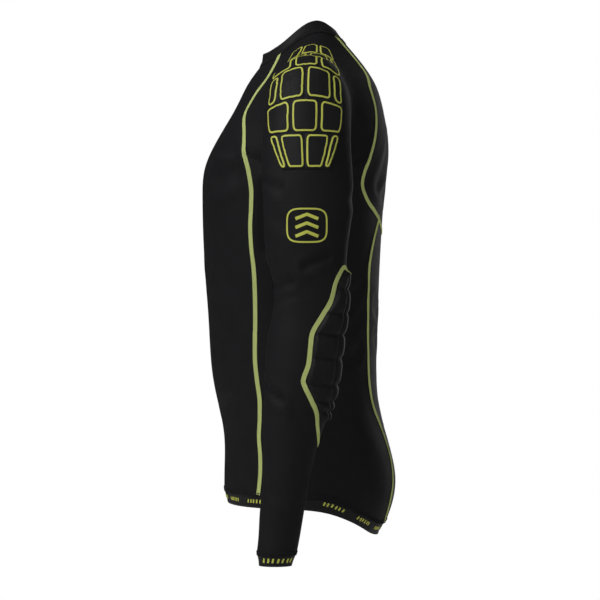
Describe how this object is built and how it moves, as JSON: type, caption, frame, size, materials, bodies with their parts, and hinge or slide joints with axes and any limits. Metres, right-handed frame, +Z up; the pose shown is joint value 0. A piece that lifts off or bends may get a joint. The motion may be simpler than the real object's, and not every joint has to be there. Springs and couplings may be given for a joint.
{
  "type": "padded compression shirt",
  "caption": "Close-fitting long-sleeve raglan shirt in its worn shape, with raised shoulder padding, quilted forearm pads, a low neckband, elastic cuffs and a hem dropped at the back.",
  "frame": {"origin": "middle of the neck opening, level with the top of the shoulders, where the wearer's shoulders hold it up", "axes": "+Z up along the body, -Y to the front of the chest, +X to the wearer's left arm"},
  "size_m": [0.5674, 0.2627, 0.7103],
  "materials": {
    "knit": "black warp-knit polyester and elastane, slight sheen, lime flatlock seams",
    "pad": "black knit bonded over foam cells, lime outlines",
    "elastic": "black woven elastic with small lime marks",
    "lime_thread": "lime textured polyester cover thread of the flatlock seams",
    "lime_print": "lime rubber transfer print"
  },
  "bodies": {
    "root": {"front_panel": "knit", "upper_back_panel": "knit", "lower_back_panel": "knit", "side_panel_left": "knit", "side_panel_right": "knit", "sleeve_left": "knit", "sleeve_right": "knit", "shoulder_pad_left": "pad", "shoulder_pad_right": "pad", "forearm_pad_left": "pad", "forearm_pad_right": "pad", "neckband": "elastic", "hem_band": "elastic", "cuff_left": "elastic", "cuff_right": "elastic"}
  },
  "joints": []
}
